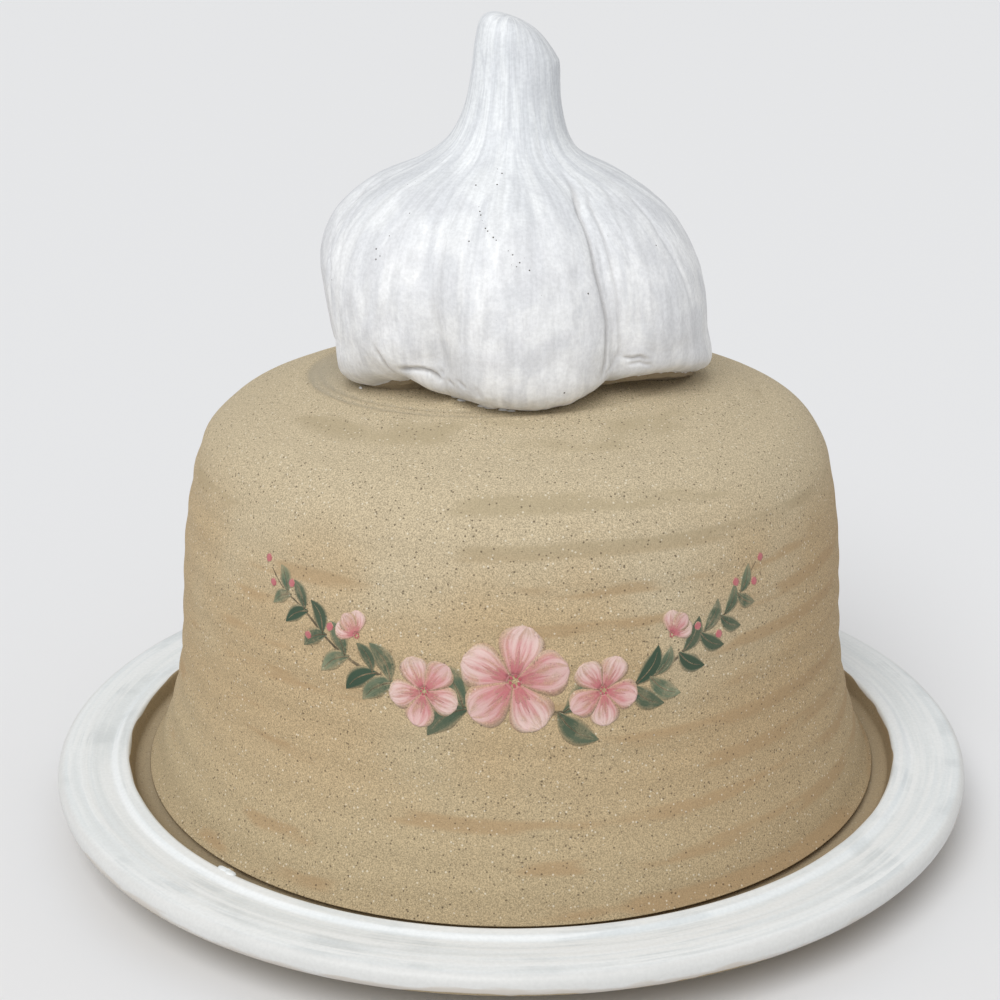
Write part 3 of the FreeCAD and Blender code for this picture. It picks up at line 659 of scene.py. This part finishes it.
# Soft hollows and swellings: turn, height over the seat, reach in millimetres, depth
DENTS = (
    (6.0, 57.0, 6.5, 0.45), (-45.0, 4.6, 4.0, 0.55), (-52.0, 20.0, 9.0, 0.25), (70.0, 12.0, 7.0, 0.20),
    (-2.0, 8.0, 10.0, -0.25), (-33.0, 10.0, 5.0, -0.55), (-31.0, 3.9, 3.4, -0.55), (52.0, 5.5, 5.0, 0.35),
    (44.0, 11.5, 5.0, -0.25), (80.0, 6.0, 5.0, -0.35), (20.0, 40.5, 5.0, 0.30), (-30.0, 41.0, 5.0, 0.25),
    (-62.0, 6.0, 5.0, -0.35), (24.0, 10.0, 4.0, -0.25),
)


@functools.lru_cache(maxsize=None)
def level_at(level):
    """The five numbers of a level, or of a place between two."""
    return tuple(along_curve(table, level) for table in LEVEL_TABLES)


@functools.lru_cache(maxsize=None)
def facing_at(level):
    """How far the skin leans out and up at a level."""
    low = level_at(round(max(level - 0.05, 0.0), 3))
    high = level_at(round(min(level + 0.05, len(LEVELS) - 1.0), 3))
    return Vector((high[0] - low[0], low[1] - high[1])).normalized()


@functools.lru_cache(maxsize=None)
def clove_at(turn):
    """How full its clove is at a turn, the way to the nearer valley, and that valley's sharpness."""
    for index, start in enumerate(VALLEYS):
        following = (index + 1) % len(VALLEYS)
        width = (VALLEYS[following] - start) % 360
        past = (turn - start) % 360
        if past < width:
            nearer = index if past < width / 2 else following
            fullness = abs(2 * past / width - 1) ** 2.2
            return fullness, min(past, width - past), VALLEY_SHARPNESS[nearer]


def folds_at(turn, height, reach):
    """How deep the folds lie at a point of the skin, and how much of that is crease."""
    depth = 0.0
    crease = 0.0
    for (course, deep, width, proud), box in zip(FOLDS, FOLD_BOXES):
        here = turn + 360 if turn < box[0] and box[0] > 90 else turn
        if not (box[0] < here < box[1] and box[2] < height < box[3]):
            continue
        nearest = (1e9, 0.0, 0.0)
        pairs = len(course) - 1
        for index, ((turn1, height1), (turn2, height2)) in enumerate(zip(course, course[1:])):
            scale = math.radians(1) * max(reach, 4)
            way = Vector(((turn2 - turn1) * scale, height2 - height1))
            here_from = Vector(((here - turn1) * scale, height - height1))
            share = min(max(here_from.dot(way) / way.length_squared, 0), 1)
            off = here_from - way * share
            if off.length < nearest[0]:
                nearest = (off.length, way.cross(here_from), (index + share) / pairs)
        off, side, share = nearest
        fade = min(1, 6 * share + 0.1) * min(1, 6 * (1 - share) + 0.1)
        pressed = deep * fade * math.exp(-(off / width) ** 2)
        depth += pressed
        crease = max(crease, min(1, pressed / 0.5) * min(1, 0.5 / width))
        if (side > 0) == (proud > 0):
            depth -= abs(proud) * fade * math.exp(-(off / (3.5 * width)) ** 2) * ease(0, width, off)
    return depth, crease


def skin_point(level, turn):
    """A point of the knob's skin, and how much it lies in a crease."""
    height, reach, lean, groove, tilt = level_at(level)
    fullness, away, sharpness = clove_at(turn)
    radius = reach * (1 - max(groove, 0) * fullness)
    radius -= 0.5 * sharpness * math.exp(-(away / 3.0) ** 2) * ease(0, 0.03, groove)
    if height < EDGE_PULL:
        share = 1 - height / EDGE_PULL
        start_reach = LEVELS[0][1] * (1 - LEVELS[0][3] * fullness)
        radius += (round_curve(EDGE_REACH, turn) - start_reach) * share ** 1.6
        height += round_curve(EDGE_LIFT, turn) * share
        height += 0.24 * share ** 4 * unevenness(turn, 0, 9, 40, 8)
    depth, crease = folds_at(turn, height, radius)
    for dent_turn, dent_height, dent_reach, deep in DENTS:
        across = math.radians(turn_between(turn, dent_turn)) * radius
        off = math.hypot(across, height - dent_height)
        if off < dent_reach * 2:
            depth += deep * math.exp(-(off / dent_reach * 1.5) ** 2)
    body = min(1.0, radius / 12)
    rough = noise.noise(at(radius, turn, height) / 8.5)
    rough += 0.35 * noise.noise(at(radius, turn, height) / 2.6)
    rough += 1.3 * (1 - ease(0, 5, height)) * noise.noise(at(radius, turn, height) / 1.7)
    depth += 0.20 * body * rough
    facing = facing_at(level)
    out = radius - depth * facing.x
    height -= depth * facing.y
    tilt = math.radians(tilt)
    angle = math.radians(turn)
    x, y = out * math.sin(angle), -out * math.cos(angle)
    place = Vector((lean + x * math.cos(tilt), y, KNOB_SEAT + height - x * math.sin(tilt)))
    return place, crease


def knob_rows():
    """What each row of the knob belongs to, from its tip down, inwards and up its hollow."""
    rows = []
    for index in range(len(LEVELS) - 1, 0, -1):
        high, low = level_at(index), level_at(index - 1)
        gap = 0.45 if low[0] < 9 else 0.62
        count = max(2, math.ceil(math.dist(high[:2], low[:2]) / gap))
        rows += [("skin", round(index - step / count, 4)) for step in range(count)]
    rows.append(("skin", 0.0))
    rows += [("under", step / 10) for step in range(1, 11)]
    rows += [("foot", step / 3) for step in range(1, 4)]
    rows += [("side", step / 4) for step in range(1, 5)]
    rows += [("vault", step / 12) for step in range(1, 13)]
    return rows


KNOB_ROWS = knob_rows()
# Its hollow opens below at the mouth, widens to the belly and closes as a dome
FOOT, MOUTH, BELLY, BELLY_RISE = 26.4, 15.9, 25.4, 9.0
FOOT_SUNK = 0.1


def turned_knob(kind, share):
    """The knob's outline before its cloves are pressed in."""
    if kind == "skin":
        height, reach, *_ = level_at(share)
        return reach, KNOB_SEAT + height
    if kind == "under":
        return LEVELS[0][1] - 3 * share, KNOB_SEAT
    if kind == "foot":
        return FOOT + (MOUTH - FOOT) * share, KNOB_SEAT
    if kind == "side":
        return MOUTH + (BELLY - MOUTH) * share, KNOB_SEAT + BELLY_RISE * share
    angle = share * math.pi / 2
    return BELLY * math.cos(angle), KNOB_SEAT + BELLY_RISE + BELLY * math.sin(angle)


@functools.lru_cache(maxsize=None)
def lower_edge(turn):
    return skin_point(0.0, turn)[0]


def under_point(kind, share, turn):
    """The bare clay under the skin's lower edge, and the foot that stands on the cover."""
    edge = lower_edge(turn)
    spoke = Vector((edge.x - LEVELS[0][2], edge.y))
    reach = spoke.length
    spoke.normalize()
    foot = min(round_curve(FOOT_REACH, turn), reach - 0.25)
    middle = Vector((LEVELS[0][2], 0))
    if kind == "under":
        thick = round_curve(BARE_EDGE, turn)
        inward = ease(0, 1, share) * 0.5 + share * 0.5
        here = middle + spoke * (reach + (foot - reach) * max(0, inward - 0.12 * hump(0.2, 0.2, share)))
        ground = crown_surface(here.x, here.y) - FOOT_SUNK
        hanging = edge.z - thick * ease(0, 0.25, share)
        undercut = round_curve(UNDERCUT, turn)
        down = share + (ease(0.55, 1.0, share) - share) * undercut
        return Vector((here.x, here.y, max(hanging + (ground - hanging) * down, ground)))
    start = middle + spoke * foot
    here = start.lerp(at(MOUTH, turn, 0).xy, share)
    return Vector((here.x, here.y, crown_surface(here.x, here.y) - FOOT_SUNK))


def knob_rule(row, radius, turn, height):
    kind, share = KNOB_ROWS[row]
    if kind == "skin":
        return skin_point(share, turn)[0]
    if kind in ("under", "foot"):
        return under_point(kind, share, turn)
    return at(radius, turn, height)


knob_shape = spun([turned_knob(*row) for row in KNOB_ROWS], 480)
bare = knob_shape.verts.layers.float.new("bare")
groove = knob_shape.verts.layers.float.new("groove")
row_layer = knob_shape.verts.layers.float["row"]
for vertex in knob_shape.verts:
    kind, share = KNOB_ROWS[round(vertex[row_layer])]
    turn = round(turn_of(vertex.co.x, vertex.co.y), 3)
    if kind == "skin":
        vertex[groove] = skin_point(share, turn)[1]
        vertex[bare] = 0.5 * (1 - ease(0.0, 0.12, share))
    else:
        vertex[bare] = 1.0
moved(knob_shape, knob_rule)
finished("garlic_head", knob_shape, knob_glaze(), "knob_glaze", "garlic_knob")


# Drops of glaze, crumbs of clay, and pinholes

# Which level of the knob lies at a height over its seat
HEIGHT_LEVELS = tuple((level[0], index) for index, level in enumerate(LEVELS))
# Pinholes: turn, height over the seat
PINHOLES = (
    (-9.5, 34.2), (-8.8, 33.6), (-8.2, 33.1), (-7.4, 32.3), (-6.9, 31.9), (-6.0, 31.2), (-5.2, 30.8),
    (-4.4, 30.4), (-3.4, 29.9), (-2.5, 29.5), (-14.0, 36.8), (-11.0, 29.2), (1.0, 28.0), (2.2, 27.4),
    (4.0, 26.2), (5.4, 26.9), (3.0, 25.6), (6.5, 25.0), (1.6, 25.9), (-39.0, 29.0), (-42.0, 26.8),
    (-40.0, 25.8), (-41.2, 25.2), (-50.0, 36.1), (-48.5, 36.6), (-36.0, 32.5), (9.0, 21.0), (23.0, 20.5),
    (-2.0, 38.4), (-5.5, 39.0), (-3.5, 37.0), (36.0, 29.0), (52.0, 26.5), (-4.0, 17.0), (12.0, 4.0),
    (-60.0, 20.0), (110.0, 24.0), (150.0, 28.0), (190.0, 22.0), (240.0, 30.0),
)


def bead(shape, point, sizes, turn=0.0):
    """Adds a flattened bead with half its length, breadth and height."""
    matrix = Matrix.LocRotScale(point, Euler((0, 0, math.radians(turn))), Vector(sizes))
    bmesh.ops.create_icosphere(shape, subdivisions=2, radius=1, matrix=matrix)


def on_crown(reach, turn):
    """A point of the crown, measured from the middle of the knob's foot."""
    place = at(reach, turn, 0)
    place.x += LEVELS[0][2]
    place.z = crown_surface(place.x, place.y)
    return place


flecks = bmesh.new()
for turn, reach, long, wide in ((-25.5, 27.4, 1.1, 0.35), (-22.6, 28.3, 0.9, 0.4), (-14.0, 29.7, 1.0, 0.35),
                                (-11.0, 30.1, 1.2, 0.4), (-6.8, 30.6, 0.9, 0.25), (-4.0, 30.8, 0.8, 0.22),
                                (11.5, 29.5, 0.9, 0.3), (14.0, 29.1, 0.7, 0.3), (-63.0, 33.1, 0.5, 0.25)):
    bead(flecks, on_crown(reach, turn), (long, wide, 0.32), turn)
finished("glaze_flecks", flecks, knob_glaze(), "knob_glaze")

drip = bmesh.new()
for turn, radius, long in ((-41.0, 76.3, 1.5), (-39.6, 76.5, 1.3), (-40.2, 76.0, 0.9)):
    bead(drip, at(radius, turn, 12.72), (long, 0.75, 0.42), turn)
finished("glaze_lump", drip, rim_glaze(), "dish_glaze")

crumbs = bmesh.new()
for turn, reach, size in ((44.0, 27.4, 0.28), (43.5, 29.2, 0.2), (38.0, 28.5, 0.15), (-30.0, 27.6, 0.2),
                          (24.0, 29.6, 0.16), (55.0, 28.6, 0.18), (4.0, 31.6, 0.15)):
    bead(crumbs, on_crown(reach, turn), (size, size * 0.8, size * 0.8), turn)
finished("clay_crumbs", crumbs, bare_clay(), "cover_clay")

pinholes = bmesh.new()
for turn, height in PINHOLES:
    point = skin_point(along_curve(HEIGHT_LEVELS, height), turn)[0] - at(0.07, turn, 0.03)
    size = 0.13 + 0.05 * math.sin(turn * 3 + height)
    bead(pinholes, point, (size, size, size))
dark = Finish("burst_bubbles", 0.8, 0.2)
specks = dark.clouds(dark.place, 3.0)
finished("glaze_pinholes", pinholes, dark.done(dark.mix(specks, (0.05, 0.045, 0.04), (0.20, 0.18, 0.16)),
                                               dark.relief(specks, 0.02)), "knob_glaze")


# The painted border: the marks are laid out on the wall unrolled flat, across and up

WALL_REACH = 66.0
MARK_FOOT = -0.14  # how deep a mark's underside lies in the clay
MARK_DOME = 0.015  # how much higher its middle is than its sides
GARLAND_HEIGHT, GARLAND_BOW = 45.2, 0.0085


def brush_mark(shape, course, widths, tone, lift, start):
    """One brush mark along a course of places (across, height), with half its breadth along it. Its
    tone runs from 0, pale, to 1, deep, and later marks lie on earlier ones with a higher lift."""
    layers = [shape.verts.layers.float[name] for name in ("along", "across", "tone")]
    before = len(shape.verts)
    length = sum(math.dist(*pair) for pair in zip(course, course[1:]))
    grid = bmesh.ops.create_grid(shape, x_segments=max(5, round(length / 0.5)), y_segments=6, size=1)
    steps = len(course) - 1
    sideways = tuple((index / steps, place[0]) for index, place in enumerate(course))
    upwards = tuple((index / steps, place[1]) for index, place in enumerate(course))
    breadth = tuple((index / (len(widths) - 1), width) for index, width in enumerate(widths))
    for vertex in grid["verts"]:
        along, across = (vertex.co.x + 1) / 2, vertex.co.y
        here, back, ahead = (Vector((along_curve(sideways, along + step), along_curve(upwards, along + step)))
                             for step in (0, -0.03, 0.03))
        side = (ahead - back).normalized().orthogonal() * across * max(0.03, along_curve(breadth, along))
        vertex.co = (here.x + side.x, here.y + side.y, 0)
        for layer, value in zip(layers, (along, across, tone)):
            vertex[layer] = value
    faces = list({face for vertex in grid["verts"] for face in vertex.link_faces})
    bmesh.ops.solidify(shape, geom=faces, thickness=0.2)
    shape.verts.ensure_lookup_table()
    mark = shape.verts[before:]
    middle = (max(vertex.co.z for vertex in mark) + min(vertex.co.z for vertex in mark)) / 2
    for vertex in mark:
        depth = MARK_FOOT
        if vertex.co.z > middle:
            depth = lift + MARK_DOME * (1 - vertex[layers[1]] ** 2)
        height = vertex.co.y
        vertex.co = thrown(along_curve(cover_wall, height) + depth,
                           start + math.degrees(vertex.co.x / WALL_REACH), height)


def blossom(x, z, size, spin, start, petals=5, spread=72):
    """Petals round a middle, each with three veins, and a ring of dots."""
    for petal in range(petals):
        angle = math.radians(spin + spread * petal)
        out = Vector((math.sin(angle), math.cos(angle)))
        side = Vector((out.y, -out.x))
        middle = Vector((x, z))
        bend = 0.10 * math.sin(petal * 2.1 + spin)
        course = [middle + out * size * share + side * size * bend * share * share
                  for share in (0.10, 0.35, 0.62, 0.85, 1.0)]
        brush_mark(petal_marks, course, [size * share for share in (0.07, 0.27, 0.42, 0.36, 0.10)],
                   0.12 + 0.18 * (petal % 2), 0.070 + 0.022 * (petal % 2) + 0.011 * (petal == 4), start)
        for lean in (-0.24, 0.02, 0.27):
            vein = [middle + out * size * share + side * size * lean * share
                    for share in (0.14, 0.34, 0.66 - abs(lean))]
            brush_mark(petal_marks, vein, [size * 0.035, size * 0.045, 0.03], 0.75, 0.108, start)
    for dot in range(6):
        angle = math.radians(60 * dot + spin)
        place = Vector((x + 0.09 * size * math.sin(angle), z + 0.09 * size * math.cos(angle)))
        brush_mark(petal_marks, [place, place + Vector((0.45, 0.2)) * size * 0.1],
                   [size * 0.025, size * 0.05, size * 0.025], 1.0, 0.125, start)


def leaf(x, z, angle, length, start):
    """A leaf and its middle vein."""
    angle = math.radians(angle)
    out = Vector((math.sin(angle), math.cos(angle)))
    side = Vector((out.y, -out.x)) * length * 0.12
    course = [Vector((x, z)) + out * length * share + side * math.sin(math.pi * share)
              for share in (0.0, 0.3, 0.6, 0.85, 1.0)]
    brush_mark(leaf_marks, course, [length * share for share in (0.03, 0.21, 0.25, 0.13, 0.01)],
               0.5 + 0.5 * math.sin(x + z), 0.036, start)
    brush_mark(stem_marks, course[:4], [0.12, 0.09, 0.04], 0.6, 0.050, start)


def bowed(s):
    """The garland's height at a way s from its middle."""
    return GARLAND_HEIGHT + GARLAND_BOW * s * s


def garland(start):
    """Stems, leaves, blossoms and berries to both sides of a large blossom at a turn."""
    for hand in (-1, 1):
        course = [(hand * s, bowed(s) + 0.5 * math.sin(s * 0.4 + hand)) for s in range(4, 49, 4)]
        brush_mark(stem_marks, course, [0.48, 0.42, 0.34, 0.24, 0.10], 0.3, 0.018, start)
        for index, s in enumerate((8.5, 21.5, 25.0, 30.5, 35.0, 39.5, 43.5)):
            foot = bowed(s) + 0.5 * math.sin(s * 0.4 + hand)
            length = 9.8 - 0.11 * s
            leaf(hand * s, foot, hand * (38 - 0.2 * s), length * (0.8 if index == 2 else 1.0), start)
            leaf(hand * (s - 0.9), foot, hand * (128 - 0.2 * s), length, start)
        blossom(hand * 15.5, 48.6, 6.3, 30 * hand, start)
        blossom(hand * 28.2, 56.6, 4.3, hand * 40 - 40, start, 3, 40)
        for s, rise in ((33.0, 2.6), (37.5, -2.4), (42.0, 2.6), (46.5, -1.6), (48.6, 0.4)):
            foot = bowed(s) + rise
            brush_mark(petal_marks, [(hand * s, foot), (hand * (s + 1.3), foot + 0.3)], [0.35, 0.85, 0.35],
                       0.9, 0.060, start)
    blossom(0.0, 51.0, 9.6, 8, start)


def paint(name, pale, full, deep):
    look = Finish(name, 0.72, 0.3)
    clay, normal = sandy_clay(look)
    along, across, tone = (look.layer(layer) for layer in ("along", "across", "tone"))
    bristles = look.clouds(look.joined(look.math("MULTIPLY", along, 1.2), look.math("MULTIPLY", across, 4.5),
                                       look.math("MULTIPLY", tone, 9.0)), 1.0, 3, 0.6)
    wash = look.clouds(look.place, 0.45, 3, 0.6)
    run = look.math("ADD", along, look.between(bristles, 0.3, 0.7, -0.30, 0.30))
    colour = look.mix(look.between(run, 0.1, 1.0), full, pale)
    colour = look.mix(tone, colour, deep)
    edge = look.between(look.math("ABSOLUTE", across), 0.60, 1.0, 1.0, 0.30)
    body = look.between(look.math("ADD", bristles, wash), 0.78, 1.12, 0.50, 0.95)
    thick = look.math("MULTIPLY", look.math("MAXIMUM", body, tone), edge)
    return look.done(look.mix(thick, clay, colour), normal)


def mark_sheet():
    shape = bmesh.new()
    for name in ("along", "across", "tone"):
        shape.verts.layers.float.new(name)
    return shape


petal_marks, leaf_marks, stem_marks = mark_sheet(), mark_sheet(), mark_sheet()
garland(0)
garland(140)
for shape in (petal_marks, leaf_marks, stem_marks):
    bmesh.ops.recalc_face_normals(shape, faces=shape.faces)
finished("blossom_paint", petal_marks,
         paint("rose_paint", (0.84, 0.66, 0.61), (0.64, 0.27, 0.28), (0.48, 0.11, 0.14)), "cover_clay")
finished("leaf_paint", leaf_marks,
         paint("green_paint", (0.20, 0.235, 0.15), (0.055, 0.105, 0.065), (0.045, 0.08, 0.05)), "cover_clay")
finished("stem_paint", stem_marks,
         paint("umber_paint", (0.10, 0.085, 0.05), (0.06, 0.05, 0.03), (0.035, 0.03, 0.02)), "cover_clay")


# Floor, light and camera

def stage_floor():
    shape = bmesh.new()
    bmesh.ops.create_grid(shape, x_segments=1, y_segments=1, size=8.0)
    mesh = bpy.data.meshes.new("floor")
    shape.to_mesh(mesh)
    shape.free()
    pale = bpy.data.materials.new("pale_floor")
    pale.use_nodes = True
    pale.node_tree.nodes["Principled BSDF"].inputs["Base Color"].default_value = (0.815, 0.822, 0.835, 1)
    pale.node_tree.nodes["Principled BSDF"].inputs["Roughness"].default_value = 0.9
    mesh.materials.append(pale)
    floor = bpy.data.objects.new("floor", mesh)
    scene.collection.objects.link(floor)


def studio_light():
    world = bpy.data.worlds.new("studio")
    world.use_nodes = True
    world.node_tree.nodes["Background"].inputs["Color"].default_value = (1, 1, 1, 1)
    world.node_tree.nodes["Background"].inputs["Strength"].default_value = 0.50
    scene.world = world
    lamp = bpy.data.lights.new("window", "SUN")
    lamp.energy = 1.95
    lamp.angle = math.radians(40)
    window = bpy.data.objects.new("window", lamp)
    window.rotation_mode = "QUATERNION"
    turn, rise = math.radians(-21), math.radians(50)
    ray = Vector((-math.sin(turn) * math.cos(rise), math.cos(turn) * math.cos(rise), -math.sin(rise)))
    window.rotation_quaternion = ray.to_track_quat("-Z", "Y")
    scene.collection.objects.link(window)


def photo_camera():
    lens = bpy.data.cameras.new("camera")
    lens.lens = 64.8
    lens.sensor_width = 36.0
    lens.clip_start = 0.01
    camera = bpy.data.objects.new("camera", lens)
    scene.collection.objects.link(camera)
    camera.location = (-0.00206, -0.3315, 0.1756)
    target = Vector((-0.00206, 0.0, 0.0604))
    aim = (target - camera.location).to_track_quat("-Z", "Y")
    camera.rotation_mode = "QUATERNION"
    camera.rotation_quaternion = aim @ Quaternion((0, 0, 1), math.radians(-0.13))
    scene.camera = camera


stage_floor()
studio_light()
photo_camera()
